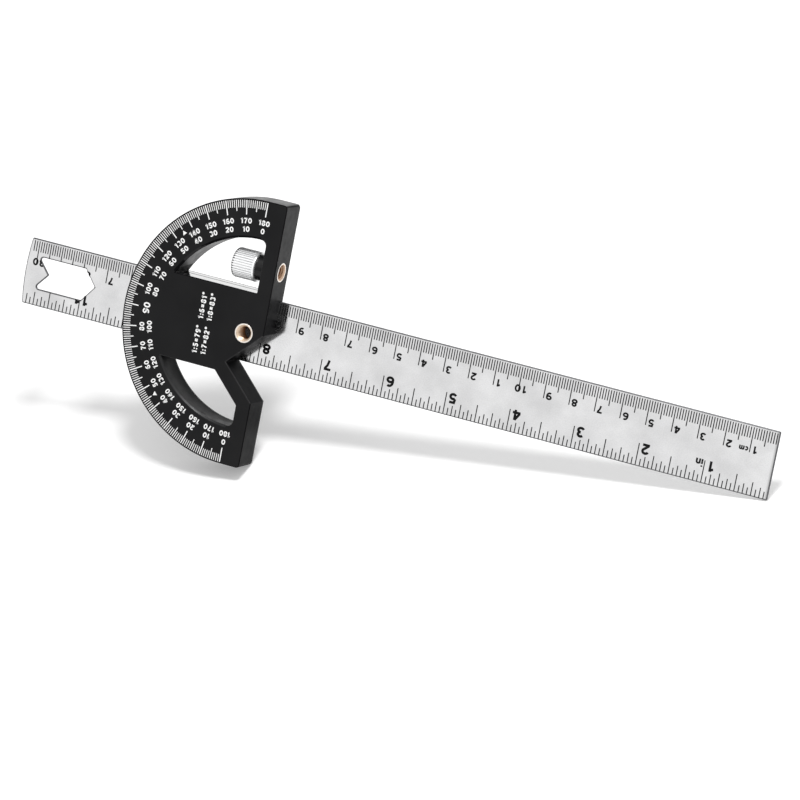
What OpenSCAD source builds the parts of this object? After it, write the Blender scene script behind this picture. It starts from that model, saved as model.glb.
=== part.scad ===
// Angle finder: a half-disc protractor head with a fence, sliding on a steel rule.
// Origin: centre of the protractor, on the rear face. X runs along the rule to its
// zero end, Y along the fence, Z out of the graduated face.

/* [Head] */
// Radius of the graduated arc
arc_r = 50; // [48:0.5:56]
// Radius of the arc's inner edge, at the two windows
arc_inner_r = 35.4; // [33:0.1:36]
// Overall thickness, rear cover included
head_t = 12; // [11.5:0.1:14]
// Distance from the protractor's centre to the fence's working face
fence_x = 8; // [7.5:0.1:12]
// Thickness of the fence beside the windows
fence_wall = 5.8; // [5.5:0.1:6.5]
// Corner radius at the two ends of the fence
fence_corner_r = 1.4; // [0.5:0.1:2]
// Height of the upper window's floor above the centre
upper_floor_y = 15.7; // [15.6:0.1:17]
// Depth of the lower window's top edge below the centre
lower_top_y = 16.1; // [15:0.1:18]
// Radius where each window's wall runs into the inner arc
window_corner_r = 2.2; // [1.5:0.1:3]
// Width of the slanted strut between notch and lower window
strut_w = 5.5; // [5:0.1:6]
// Depth of the right-angled centre-finding notch in the fence
notch_depth = 13; // [11:0.1:14]
// Chamfer along the front of the inner arc
inner_break = 0.7; // [0.3:0.1:0.9]
// Length of plain edge left at each end of that chamfer
break_end = 0.5; // [0.2:0.1:2]

/* [Ruler] */
// Length over the rounded end
ruler_l = 304.2; // [250:0.1:320]
// Width of the rule
ruler_w = 25.4; // [25:0.1:26]
// Thickness of the rule
ruler_t = 1; // [0.8:0.1:1.2]
// Distance from the protractor's centre to the rule's zero end
ruler_zero_x = 206.5; // [150:0.5:230]
// Height of the rule's middle line above the protractor's centre
ruler_y = 0.5; // [0:0.1:0.8]
// Radius of the rounded end
ruler_end_r = 88; // [60:1:200]
// Radius of the two corners at the zero end
ruler_corner_r = 0.6; // [0.3:0.1:2]
// Clearance on each face and each edge of the rule in its slot
ruler_gap = 0.07; // [0.05:0.01:0.2]

/* [Hanging hole] */
// Distance from the rounded end to the tail of the hole
hole_tail = 4.9; // [4.5:0.1:12]
// Length from the tail's tips to the nose
hole_l = 24.9; // [18:0.1:30]
// Width of the hole
hole_w = 12.2; // [8:0.1:14]
// Depth of the cut in the tail
hole_tail_cut = 5.3; // [2:0.1:6]
// Length of the pointed nose
hole_nose = 4.8; // [3:0.1:7]
// Corner radius at the tips of the tail
hole_tip_r = 0.9; // [0.5:0.1:1.5]

/* [Threaded inserts] */
// Outside diameter of an insert
insert_d = 7.3; // [7:0.1:8]
// Bore of an insert, the minor diameter of an M6 thread
insert_bore_d = 5; // [4.9:0.05:5.2]
// Diameter of the countersink at an insert's mouth
insert_mouth_d = 6; // [5.5:0.1:6.6]
// Length of the insert in the front face
centre_insert_l = 7.5; // [6:0.1:8]
// Clearance around an M6 screw in the hole behind the insert
neck_gap = 0.1; // [0.05:0.05:0.3]
// Clearance around an insert in its hole
insert_gap = 0.02; // [0.01:0.01:0.05]
// Distance from the middle of the fence to the side insert
side_insert_y = 24.5; // [24:0.1:27]
// Height of the side insert's axis above the rear face
side_insert_z = 6.1; // [5.6:0.1:6.4]
// Diameter of the boss behind the side insert
boss_d = 9.7; // [9.2:0.1:10]
// Length of the boss inside the window
boss_l = 3.2; // [2:0.1:4]

/* [Thumb screw] */
// Diameter over the knurl
knob_d = 11.5; // [10:0.1:11.8]
// Length of the knob
knob_l = 9.6; // [8:0.1:10]
// Chamfer on the knob's free end
knob_chamfer = 1.2; // [0.6:0.1:1.6]
// Length of the plain rim next to the fence
knob_rim_l = 1.3; // [0.8:0.1:2]
// Height of the rim above the knurl
rim_step = 0.1; // [0.05:0.05:0.2]
// Chamfer on the rim's edge at the fence
rim_chamfer = 0.3; // [0.1:0.1:0.5]
// Number of knurl teeth
knurl_teeth = 36; // [24:1:48]
// Depth of the knurl
knurl_depth = 0.4; // [0.2:0.05:0.6]
// Diameter of the stud
stud_d = 4.9; // [4.7:0.05:4.94]
// Length of the stud inside the knob
stud_in_knob = 6.5; // [4:0.5:8]
// Gap between the stud's tip and the fence's face
stud_tip_gap = 2; // [0:0.1:3]
// Chamfer on the stud's tip
stud_chamfer = 0.5; // [0.2:0.1:0.8]
// Gap between the seated knob and the boss
knob_seat_gap = 0.1; // [0.05:0.05:0.3]

/* [Rear cover] */
// Thickness of the plate
cover_t = 1; // [0.8:0.1:1.2]
// Shank diameter of a cover screw
screw_d = 2; // [1.8:0.1:2.2]
// Head diameter of a cover screw
screw_head_d = 3.7; // [3.4:0.1:3.9]
// Length of a cover screw
screw_l = 7; // [5:0.5:8]
// Width and depth of the cross recess
recess_w = 0.5; // [0.4:0.1:0.6]
// Clearance around a screw
screw_gap = 0.03; // [0.02:0.01:0.1]
// Depth of a screw's hole past its point
screw_hole_extra = 0.5; // [0.2:0.1:1]

/* [Hidden] */
eps = 0.01;
big = 200;
corner_steps = 6;
window_x = fence_x - fence_wall;
slot_w = ruler_w + 2 * ruler_gap;
slot_top = cover_t + ruler_t + 2 * ruler_gap;
ruler_z = cover_t + ruler_gap;
// the rule's lower edge runs through the notch's corner and halves its angle
notch_y = ruler_y - ruler_w / 2;
notch_x = fence_x - notch_depth;
// x + y along the window's side of the strut
strut_sum = notch_x + notch_y - strut_w * sqrt(2);
ruler_end_x = ruler_zero_x - ruler_l;
boss_x = window_x - boss_l;
knob_x = boss_x - knob_seat_gap;
insert_neck_d = insert_mouth_d + 2 * neck_gap;
// middles of the cover screws: two beside the rule on the arc, two at the ends of the
// fence, one between the rule and the side insert, one on the strut
arc_screw_r = (arc_r + arc_inner_r) / 2;
arc_screw_y = slot_w / 2 + 1.6 * screw_head_d;
arc_screw_x = -sqrt(arc_screw_r * arc_screw_r - arc_screw_y * arc_screw_y);
end_screw_x = fence_x - 1.25 * screw_head_d;
end_screw_y = arc_r - 1.8 * screw_head_d;
fence_screw_x = fence_x - fence_wall / 2;
fence_screw_y = (ruler_y + slot_w / 2 + side_insert_y - insert_d / 2) / 2;
strut_screw_x = notch_x + 0.35 * screw_head_d;
strut_screw_y = notch_x + notch_y - strut_w / sqrt(2) - strut_screw_x;
cover_screws = [
    [arc_screw_x, arc_screw_y], [arc_screw_x, -arc_screw_y],
    [end_screw_x, end_screw_y], [end_screw_x, -end_screw_y],
    [fence_screw_x, fence_screw_y], [strut_screw_x, strut_screw_y]];

// corner p of a polygon rounded to radius r, between neighbours a and b
function unit(v) = v / norm(v);
function rounded(a, p, b, r) =
    let (u = unit(a - p), w = unit(b - p), half = acos(u * w) / 2,
        centre = p + unit(u + w) * r / sin(half),
        start = p + u * r / tan(half) - centre, turn = 180 - 2 * half,
        side = sign(u[0] * w[1] - u[1] * w[0]))
    [for (i = [0:corner_steps]) let (t = -side * turn * i / corner_steps)
        centre + [start[0] * cos(t) - start[1] * sin(t), start[0] * sin(t) + start[1] * cos(t)]];

// inside of the head before the middle block and the strut: the inner arc, cut off by
// the fence's wall with a round corner at each end
module window_space() {
    cx = window_x - window_corner_r;
    reach = arc_inner_r - window_corner_r;
    cy = sqrt(reach * reach - cx * cx);
    // the arc and a corner meet on the ray through the corner's centre
    ray = [cx, cy] * 2;
    intersection() {
        circle(arc_inner_r, $fn = 180);
        polygon([[cx, cy], ray, [-big, 2 * cy], [-big, -2 * cy], [ray[0], -ray[1]], [cx, -cy]]);
    }
    translate([cx, -cy]) square([window_corner_r, 2 * cy]);
    for (side = [-1, 1])
        intersection() {
            translate([cx, side * cy]) circle(window_corner_r, $fn = 48);
            polygon([[cx, side * cy], [ray[0], side * ray[1]], [big, side * ray[1]],
                [big, side * cy]]);
        }
}

module upper_window() {
    intersection() {
        window_space();
        translate([-big, upper_floor_y]) square([2 * big, big]);
    }
}

module lower_window() {
    left = -arc_inner_r - 1;
    intersection() {
        window_space();
        polygon([[left, -lower_top_y], [strut_sum + lower_top_y, -lower_top_y],
            [window_x + 1, strut_sum - window_x - 1], [window_x + 1, left], [left, left]]);
    }
}

module notch() {
    over = 2;
    polygon([[notch_x, notch_y],
        [fence_x + over, notch_y + notch_depth + over],
        [fence_x + over, notch_y - notch_depth - over]]);
}

// outline shared by the head and its rear cover
module head_outline() {
    difference() {
        union() {
            intersection() {
                circle(arc_r, $fn = 240);
                translate([-big, -big]) square([big, 2 * big]);
            }
            polygon(concat([[0, -arc_r]],
                rounded([0, -arc_r], [fence_x, -arc_r], [fence_x, 0], fence_corner_r),
                rounded([fence_x, 0], [fence_x, arc_r], [0, arc_r], fence_corner_r),
                [[0, arc_r]]));
        }
        upper_window();
        lower_window();
        notch();
    }
}

// chamfer along the front of the inner arc, from the middle block and the strut to the
// round corners at the fence
module inner_arc_break() {
    margin = break_end / arc_inner_r * 180 / PI;
    corner = acos((window_x - window_corner_r) / (arc_inner_r - window_corner_r)) + margin;
    upper_end = 180 - asin(upper_floor_y / arc_inner_r) - margin;
    lower_end = 180 + asin(lower_top_y / arc_inner_r) + margin;
    for (span = [[corner, upper_end], [lower_end, 360 - corner]])
        rotate([0, 0, span[0]])
            rotate_extrude(angle = span[1] - span[0], $fn = 180)
                polygon([[arc_inner_r - inner_break, head_t - 2 * inner_break],
                    [arc_inner_r + inner_break + eps, head_t + eps],
                    [arc_inner_r - inner_break, head_t + eps]]);
}

module head() {
    color([0.05, 0.05, 0.055])
    difference() {
        union() {
            translate([0, 0, cover_t]) linear_extrude(head_t - cover_t) head_outline();
            translate([boss_x, side_insert_y, side_insert_z]) rotate([0, 90, 0])
                cylinder(h = boss_l + 1, d = boss_d, $fn = 72);
        }
        // slot for the rule, open to the rear
        translate([-arc_r - 1, ruler_y - slot_w / 2, 0])
            cube([arc_r + fence_x + 2, slot_w, slot_top]);
        inner_arc_break();
        // stepped hole for the front insert, through to the rule
        translate([0, 0, head_t - centre_insert_l])
            cylinder(h = centre_insert_l + 1, d = insert_d + 2 * insert_gap, $fn = 72);
        cylinder(h = head_t, d = insert_neck_d, $fn = 64);
        // hole for the side insert, through the fence and its boss
        translate([boss_x - 1, side_insert_y, side_insert_z]) rotate([0, 90, 0])
            cylinder(h = fence_x - boss_x + 2, d = insert_d + 2 * insert_gap, $fn = 72);
        // pilot holes for the cover screws
        for (p = cover_screws)
            translate([p[0], p[1], 0])
                cylinder(h = screw_l + screw_hole_extra, d = screw_d + 2 * screw_gap, $fn = 36);
    }
}

module rear_cover() {
    color([0.09, 0.09, 0.1])
    difference() {
        linear_extrude(cover_t) head_outline();
        for (p = cover_screws)
            translate([p[0], p[1], 0]) {
                translate([0, 0, -eps]) cylinder(h = cover_t + 1, d = screw_d + 2 * screw_gap,
                    $fn = 36);
                translate([0, 0, -eps])
                    cylinder(h = (screw_head_d - screw_d) / 2 + eps,
                        d1 = screw_head_d + 2 * screw_gap + 2 * eps,
                        d2 = screw_d + 2 * screw_gap, $fn = 48);
            }
    }
}

module cover_screw(p) {
    head_h = (screw_head_d - screw_d) / 2;
    color([0.2, 0.2, 0.22])
    translate([p[0], p[1], 0])
    difference() {
        union() {
            cylinder(h = head_h, d1 = screw_head_d, d2 = screw_d, $fn = 48);
            cylinder(h = screw_l, d = screw_d, $fn = 36);
        }
        for (a = [0, 90])
            rotate([0, 0, a])
                translate([-0.5 * screw_d, -recess_w / 2, -eps])
                    cube([screw_d, recess_w, recess_w]);
    }
}

// insert with its mouth at the origin, running down Z; open at both ends
module insert(l) {
    lead = (insert_mouth_d - insert_bore_d) / 2;
    color([0.78, 0.6, 0.34])
    difference() {
        translate([0, 0, -l]) cylinder(h = l, d = insert_d, $fn = 72);
        translate([0, 0, -l - 1]) cylinder(h = l + 2, d = insert_bore_d, $fn = 64);
        translate([0, 0, -lead])
            cylinder(h = lead + eps, d1 = insert_bore_d, d2 = insert_mouth_d + 2 * eps, $fn = 64);
    }
}

module centre_insert() {
    translate([0, 0, head_t]) insert(centre_insert_l);
}

module fence_insert() {
    translate([fence_x, side_insert_y, side_insert_z]) rotate([0, 90, 0])
        insert(fence_x - boss_x);
}

module hanging_hole() {
    tail = ruler_end_x + hole_tail;
    half = hole_w / 2;
    cut = [tail + hole_tail_cut, 0];
    shoulder = tail + hole_l - hole_nose;
    translate([0, ruler_y])
        polygon(concat([cut],
            rounded(cut, [tail, half], [shoulder, half], hole_tip_r),
            [[shoulder, half], [tail + hole_l, 0], [shoulder, -half]],
            rounded([shoulder, -half], [tail, -half], cut, hole_tip_r)));
}

module ruler() {
    half = ruler_w / 2;
    color([0.78, 0.79, 0.8])
    translate([0, 0, ruler_z]) linear_extrude(ruler_t)
    difference() {
        intersection() {
            translate([0, ruler_y])
                polygon(concat([[ruler_end_x - 1, half], [ruler_end_x - 1, -half]],
                    rounded([0, -half], [ruler_zero_x, -half], [ruler_zero_x, 0], ruler_corner_r),
                    rounded([ruler_zero_x, 0], [ruler_zero_x, half], [0, half],
                        ruler_corner_r)));
            union() {
                translate([ruler_end_x + ruler_end_r, ruler_y]) circle(ruler_end_r, $fn = 360);
                translate([ruler_end_x + ruler_end_r, -big]) square([2 * big, 2 * big]);
            }
        }
        hanging_hole();
    }
}

// knurled outline: a tooth is a flat-topped wedge
module knurl_outline() {
    outer = knob_d / 2 - rim_step;
    step = 360 / knurl_teeth;
    polygon([for (i = [0:knurl_teeth - 1], s = [0, 0.3, 0.65])
        let (r = s == 0.65 ? outer - knurl_depth : outer, a = (i + s) * step)
        [r * cos(a), r * sin(a)]]);
}

module knob() {
    outer = knob_d / 2;
    color([0.82, 0.83, 0.85])
    translate([knob_x, side_insert_y, side_insert_z]) rotate([0, -90, 0])
    difference() {
        union() {
            rotate_extrude($fn = 96)
                polygon([[0, 0], [outer - rim_chamfer, 0], [outer, rim_chamfer],
                    [outer, knob_rim_l], [0, knob_rim_l]]);
            intersection() {
                translate([0, 0, knob_rim_l - eps]) linear_extrude(knob_l - knob_rim_l + eps)
                    knurl_outline();
                // the cone that cuts the free end's chamfer
                cylinder(h = knob_l, r1 = outer - knob_chamfer + knob_l,
                    r2 = outer - knob_chamfer, $fn = 96);
            }
        }
        translate([0, 0, -1]) cylinder(h = stud_in_knob + 1, d = stud_d, $fn = 64);
    }
}

module knob_stud() {
    l = stud_in_knob + fence_x - stud_tip_gap - knob_x;
    color([0.7, 0.71, 0.72])
    translate([knob_x - stud_in_knob, side_insert_y, side_insert_z]) rotate([0, 90, 0]) {
        cylinder(h = l - stud_chamfer, d = stud_d, $fn = 64);
        translate([0, 0, l - stud_chamfer])
            cylinder(h = stud_chamfer, d1 = stud_d, d2 = stud_d - 2 * stud_chamfer, $fn = 64);
    }
}

head();
rear_cover();
cover_screw(cover_screws[0]);  // cover_screw_1
cover_screw(cover_screws[1]);  // cover_screw_2
cover_screw(cover_screws[2]);  // cover_screw_3
cover_screw(cover_screws[3]);  // cover_screw_4
cover_screw(cover_screws[4]);  // cover_screw_5
cover_screw(cover_screws[5]);  // cover_screw_6
centre_insert();
fence_insert();
ruler();
knob();
knob_stud();
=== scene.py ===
import math

import bmesh
import bpy
from mathutils import Matrix, Vector


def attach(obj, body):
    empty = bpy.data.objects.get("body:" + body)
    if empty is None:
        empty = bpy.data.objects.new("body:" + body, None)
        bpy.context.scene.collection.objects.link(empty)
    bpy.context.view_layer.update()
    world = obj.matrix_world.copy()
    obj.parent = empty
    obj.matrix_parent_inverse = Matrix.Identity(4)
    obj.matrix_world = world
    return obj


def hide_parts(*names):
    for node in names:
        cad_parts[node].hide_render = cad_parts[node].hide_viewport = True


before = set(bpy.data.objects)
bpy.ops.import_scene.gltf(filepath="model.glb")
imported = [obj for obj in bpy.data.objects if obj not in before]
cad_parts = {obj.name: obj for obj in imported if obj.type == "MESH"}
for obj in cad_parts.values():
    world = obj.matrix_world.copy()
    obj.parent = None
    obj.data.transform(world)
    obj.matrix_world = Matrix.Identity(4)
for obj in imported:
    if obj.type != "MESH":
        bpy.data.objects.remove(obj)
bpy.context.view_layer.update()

# Angle finder: looks of a half-disc protractor head on a steel rule.
# Lengths below are in millimetres unless a name ends in _m; MM turns them into metres.
MM = 0.001

# places and sizes shared with the solids
HEAD_T = 12.0
ARC_R, INNER_ARC_R = 50.0, 35.4
FENCE_X = 8.0
WINDOW_FLOOR_Y = 15.7
INCH = 25.4
RULE_FACE_Z = 2.07
RULE_ZERO_X = 206.5
RULE_Y = 0.5
RULE_L, RULE_W = 304.2, 25.4
RULE_END_X = RULE_ZERO_X - RULE_L
SIDE_Y, SIDE_Z = 24.5, 6.1
BOSS_X = -1.0
KNOB_X = -1.1
KNOB_L, KNOB_R = 9.6, 5.75
STUD_IN_KNOB = 6.5
STUD_TIP_X = FENCE_X - 2.0
INSERT_R, CENTRE_INSERT_L = 3.65, 7.5
THREAD_MINOR_R, THREAD_MAJOR_R, THREAD_PITCH = 2.5, 3.0, 1.0

# hanging hole in the rule, cut through the printed marks as well
HOLE_TAIL_X = RULE_END_X + 4.9
HOLE_L, HOLE_HALF, HOLE_CUT, HOLE_NOSE = 24.9, 6.1, 5.3, 4.8

# camera fitted to the photograph
CAMERA_AT = (618.43, 269.32, 1466.63)
CAMERA_FORWARD = (-0.34957, -0.17618, -0.92020)
CAMERA_UP = (-0.24100, 0.96602, -0.09341)
CAMERA_LENS, CAMERA_SENSOR = 194.8, 36.0
CAMERA_REACH_M = 20.0

# light: even from all round, with a soft lamp over the floor the tool stands on
AMBIENT, BACKGROUND = 0.62, 1.0
KEY_POWER = 9.0
KEY_SIZE_M = 0.28
KEY_AIM = (40.0, 0.0, 0.0)
KEY_FROM = (0.04, 0.86, 0.5)
KEY_DISTANCE_M = 1.1

# the tool leans back on two corners, the fence's lower end and the rule's zero end
LEFT_FOOT = (6.9, -50.0, 0.0)
RIGHT_FOOT = (206.3, -12.2, 1.07)
LEAN = 60.0
FLOOR_HALF = 4000.0
# the floor's own glow near the tool and far from it, where the lamp doesn't reach
FLOOR_GLOW, FAR_GLOW = 0.24, 0.51
FADE_FROM, FADE_TO = 300.0, 650.0
TOOL_MIDDLE = (55.0, 0.0, 0.0)


# Camera, light and floor

def make_camera():
    data = bpy.data.cameras.new("camera")
    data.sensor_width = CAMERA_SENSOR
    data.lens = CAMERA_LENS
    data.clip_end = CAMERA_REACH_M
    camera = bpy.data.objects.new("camera", data)
    back = -Vector(CAMERA_FORWARD).normalized()
    right = Vector(CAMERA_UP).cross(back).normalized()
    up = back.cross(right)
    turn = Matrix((right, up, back)).transposed()
    camera.matrix_world = Matrix.Translation(Vector(CAMERA_AT) * MM) @ turn.to_4x4()
    bpy.context.scene.collection.objects.link(camera)
    bpy.context.scene.camera = camera


def make_world():
    """Even light on the tool, with a white background to look at."""
    world = bpy.data.worlds.new("studio")
    bpy.context.scene.world = world
    world.use_nodes = True
    nt = world.node_tree
    nt.nodes.clear()
    out = nt.nodes.new("ShaderNodeOutputWorld")
    mix = nt.nodes.new("ShaderNodeMixShader")
    nt.links.new(seen_directly(nt), mix.inputs["Fac"])
    nt.links.new(white_light(nt, AMBIENT), mix.inputs[1])
    nt.links.new(white_light(nt, BACKGROUND), mix.inputs[2])
    nt.links.new(mix.outputs[0], out.inputs["Surface"])


def white_light(nt, strength):
    node = nt.nodes.new("ShaderNodeBackground")
    node.inputs["Color"].default_value = (1, 1, 1, 1)
    node.inputs["Strength"].default_value = strength
    return node.outputs[0]


def combine(nt, operation, first, second):
    """Result of a maths operation on two values of a node tree."""
    node = nt.nodes.new("ShaderNodeMath")
    node.operation = operation
    nt.links.new(first, node.inputs[0])
    nt.links.new(second, node.inputs[1])
    return node.outputs[0]


def seen_directly(nt):
    """1 for camera, glossy and transmission rays."""
    path = nt.nodes.new("ShaderNodeLightPath")
    direct = combine(nt, "MAXIMUM", path.outputs["Is Camera Ray"], path.outputs["Is Glossy Ray"])
    return combine(nt, "MAXIMUM", direct, path.outputs["Is Transmission Ray"])


def make_key_light():
    data = bpy.data.lights.new("key", "AREA")
    data.shape = "DISK"
    data.size = KEY_SIZE_M
    data.energy = KEY_POWER
    lamp = bpy.data.objects.new("key", data)
    aim = Vector(KEY_AIM) * MM
    direction = Vector(KEY_FROM).normalized()
    lamp.location = aim + direction * KEY_DISTANCE_M
    lamp.rotation_euler = direction.to_track_quat("Z", "Y").to_euler()
    bpy.context.scene.collection.objects.link(lamp)


def make_floor():
    """Pale sheet that the tool's two feet touch; it runs away behind the tool."""
    foot = Vector(LEFT_FOOT)
    along = (Vector(RIGHT_FOOT) - foot).normalized()
    up_face = Vector((0, 0, 1)).cross(along).normalized()
    out_face = along.cross(up_face)
    lean = math.radians(LEAN)
    behind = up_face * math.cos(lean) - out_face * math.sin(lean)
    bm = bmesh.new()
    corners = []
    for i, k in ((-1, -1), (1, -1), (1, 1), (-1, 1)):
        corners.append(bm.verts.new((foot + FLOOR_HALF * (along * i + behind * k)) * MM))
    bm.faces.new(corners)
    mesh = bpy.data.meshes.new("floor")
    bm.to_mesh(mesh)
    bm.free()
    floor = bpy.data.objects.new("floor", mesh)
    bpy.context.scene.collection.objects.link(floor)
    floor.data.materials.append(floor_material())


def floor_glow(nt):
    """Strength of the floor's glow at a distance from the tool; it lights nothing dull."""
    place = nt.nodes.new("ShaderNodeTexCoord")
    away = nt.nodes.new("ShaderNodeVectorMath")
    away.operation = "DISTANCE"
    away.inputs[1].default_value = Vector(TOOL_MIDDLE) * MM
    nt.links.new(place.outputs["Object"], away.inputs[0])
    fade = spread(nt, away.outputs["Value"], FLOOR_GLOW, FAR_GLOW, FADE_FROM * MM, FADE_TO * MM)
    return combine(nt, "MULTIPLY", seen_directly(nt), fade)


def floor_material():
    """White paper that glows a little; from below it is clear, so it never hides the part."""
    mat = bpy.data.materials.new("floor_white")
    mat.use_nodes = True
    nt = mat.node_tree
    nt.nodes.clear()
    out = nt.nodes.new("ShaderNodeOutputMaterial")
    paper = nt.nodes.new("ShaderNodeBsdfDiffuse")
    paper.inputs["Color"].default_value = (0.8, 0.8, 0.8, 1)
    glow = nt.nodes.new("ShaderNodeEmission")
    nt.links.new(floor_glow(nt), glow.inputs["Strength"])
    add = nt.nodes.new("ShaderNodeAddShader")
    nt.links.new(paper.outputs[0], add.inputs[0])
    nt.links.new(glow.outputs[0], add.inputs[1])
    clear = nt.nodes.new("ShaderNodeBsdfTransparent")
    geometry = nt.nodes.new("ShaderNodeNewGeometry")
    side = nt.nodes.new("ShaderNodeMixShader")
    nt.links.new(geometry.outputs["Backfacing"], side.inputs["Fac"])
    nt.links.new(add.outputs[0], side.inputs[1])
    nt.links.new(clear.outputs[0], side.inputs[2])
    nt.links.new(side.outputs[0], out.inputs["Surface"])
    return mat


# Materials

def new_material(name, color, metallic, roughness, specular=0.5):
    mat = bpy.data.materials.new(name)
    mat.use_nodes = True
    nt = mat.node_tree
    shader = nt.nodes["Principled BSDF"]
    shader.inputs["Base Color"].default_value = (*color, 1)
    shader.inputs["Metallic"].default_value = metallic
    shader.inputs["Roughness"].default_value = roughness
    shader.inputs["Specular IOR Level"].default_value = specular
    return mat, nt, shader


def noise(nt, scale, detail, stretch=(1, 1, 1)):
    """Noise in object space; scale is in features per metre."""
    place = nt.nodes.new("ShaderNodeTexCoord")
    mapping = nt.nodes.new("ShaderNodeMapping")
    mapping.inputs["Scale"].default_value = stretch
    texture = nt.nodes.new("ShaderNodeTexNoise")
    texture.inputs["Scale"].default_value = scale
    texture.inputs["Detail"].default_value = detail
    nt.links.new(place.outputs["Object"], mapping.inputs["Vector"])
    nt.links.new(mapping.outputs["Vector"], texture.inputs["Vector"])
    return texture.outputs["Fac"]


def spread(nt, source, low, high, start=0.3, stop=0.7):
    """Runs from low to high while a value, such as noise, runs from start to stop."""
    span = nt.nodes.new("ShaderNodeMapRange")
    span.inputs["From Min"].default_value = start
    span.inputs["From Max"].default_value = stop
    span.inputs["To Min"].default_value = low
    span.inputs["To Max"].default_value = high
    nt.links.new(source, span.inputs["Value"])
    return span.outputs["Result"]


def mix_colors(nt, factor, first, second):
    mix = nt.nodes.new("ShaderNodeMix")
    mix.data_type = "RGBA"
    mix.inputs["A"].default_value = (*first, 1)
    mix.inputs["B"].default_value = (*second, 1)
    nt.links.new(factor, mix.inputs["Factor"])
    return mix.outputs["Result"]


def darken(nt, color, share):
    """The colour multiplied by a share."""
    mix = nt.nodes.new("ShaderNodeMix")
    mix.data_type = "RGBA"
    mix.blend_type = "MULTIPLY"
    mix.inputs["Factor"].default_value = 1.0
    nt.links.new(color, mix.inputs["A"])
    nt.links.new(share, mix.inputs["B"])
    return mix.outputs["Result"]


def paint(nt, shader, factor, first, second):
    """Colours the shader with a blend from first to second."""
    nt.links.new(mix_colors(nt, factor, first, second), shader.inputs["Base Color"])


def bump(nt, shader, height, depth, strength):
    """Relief from a height value; depth is in millimetres."""
    node = nt.nodes.new("ShaderNodeBump")
    node.inputs["Strength"].default_value = strength
    node.inputs["Distance"].default_value = depth * MM
    nt.links.new(height, node.inputs["Height"])
    nt.links.new(node.outputs["Normal"], shader.inputs["Normal"])


def along_axis(nt, axis, start, stop, low, high):
    """Runs from low to high between two places, in millimetres, on an axis of the object."""
    place = nt.nodes.new("ShaderNodeTexCoord")
    split = nt.nodes.new("ShaderNodeSeparateXYZ")
    nt.links.new(place.outputs["Object"], split.inputs["Vector"])
    return spread(nt, split.outputs[axis], low, high, start * MM, stop * MM)


def black_plastic(name, painted_sheen=None):
    """Satin black; the optional sheen ramp gives the axis, two places on it and the shine at each:
    a painted sheen that brightens or dims the plastic along that axis.
    """
    mat, nt, shader = new_material(name, (0.006, 0.006, 0.0065), 0.0, 0.36, 0.14)
    mottle = spread(nt, noise(nt, 60, 3.0), 0, 1)
    paint(nt, shader, mottle, (0.0045, 0.0045, 0.005), (0.0085, 0.0085, 0.009))
    nt.links.new(spread(nt, noise(nt, 350, 5.0), 0.3, 0.44), shader.inputs["Roughness"])
    if painted_sheen:
        # painted sheen: the plastic's shine changes with its place along the axis
        nt.links.new(along_axis(nt, *painted_sheen), shader.inputs["Specular IOR Level"])
    bump(nt, shader, noise(nt, 4200, 3.0), 0.012, 0.5)
    return mat


# lines along the window's polished wall: the mould's parting line and the seam with the cover
PARTING_Z, SEAM_Z, LINE_HALF = 5.0, 0.5, 0.8


def line_at(nt, z):
    """1 on a line at height z, fading to 0 at LINE_HALF on both sides."""
    rise = along_axis(nt, "Z", z - LINE_HALF, z - LINE_HALF / 3, 0.0, 1.0)
    fall = along_axis(nt, "Z", z + LINE_HALF / 3, z + LINE_HALF, 1.0, 0.0)
    return combine(nt, "MULTIPLY", rise, fall)


def polished_plastic():
    """Smooth wall of the upper window; its shine stops at two lines along it."""
    mat, nt, shader = new_material("head_polished", (0.02, 0.02, 0.021), 0.0, 0.12, 1.0)
    shader.inputs["Coat IOR"].default_value = 2.0
    shader.inputs["Coat Roughness"].default_value = 0.05
    lines = combine(nt, "MAXIMUM", line_at(nt, PARTING_Z), line_at(nt, SEAM_Z))
    shine = spread(nt, lines, 1.0, 0.0, 0.0, 1.0)
    nt.links.new(shine, shader.inputs["Coat Weight"])
    nt.links.new(shine, shader.inputs["Specular IOR Level"])
    nt.links.new(spread(nt, noise(nt, 400, 4.0), 0.08, 0.16), shader.inputs["Roughness"])
    bump(nt, shader, noise(nt, 900, 3.0), 0.006, 0.4)
    return mat


def cover_paint():
    mat, nt, shader = new_material("cover_black", (0.012, 0.012, 0.013), 0.0, 0.5, 0.25)
    paint(nt, shader, noise(nt, 900, 4.0), (0.009, 0.009, 0.01), (0.017, 0.017, 0.018))
    nt.links.new(spread(nt, noise(nt, 600, 4.0), 0.42, 0.6), shader.inputs["Roughness"])
    bump(nt, shader, noise(nt, 2600, 5.0), 0.03, 0.6)
    return mat


def screw_black():
    mat, nt, shader = new_material("screw_black", (0.06, 0.06, 0.065), 1.0, 0.38)
    paint(nt, shader, noise(nt, 1500, 4.0), (0.045, 0.045, 0.05), (0.085, 0.085, 0.09))
    bump(nt, shader, noise(nt, 6000, 3.0), 0.01, 0.5)
    return mat


def white_ink():
    mat, nt, shader = new_material("white_ink", (0.93, 0.93, 0.92), 0.0, 0.45, 0.4)
    wear = spread(nt, noise(nt, 1800, 5.0), 0, 1)
    paint(nt, shader, wear, (0.9, 0.9, 0.895), (0.97, 0.97, 0.965))
    bump(nt, shader, noise(nt, 7000, 3.0), 0.008, 0.5)
    return mat


def black_ink():
    mat, nt, shader = new_material("black_ink", (0.006, 0.006, 0.0065), 0.0, 0.5, 0.08)
    blotch = spread(nt, noise(nt, 1500, 5.0), 0, 1)
    paint(nt, shader, blotch, (0.004, 0.004, 0.0045), (0.01, 0.01, 0.0105))
    bump(nt, shader, noise(nt, 6000, 3.0), 0.008, 0.5)
    return mat


# length of the painted shade over the rule's rounded zero end, and how much of the steel's colour
# its tip keeps under it
RULE_END_SHADE_L, RULE_TIP_SHADE_SHARE = 1.3, 0.36


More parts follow.
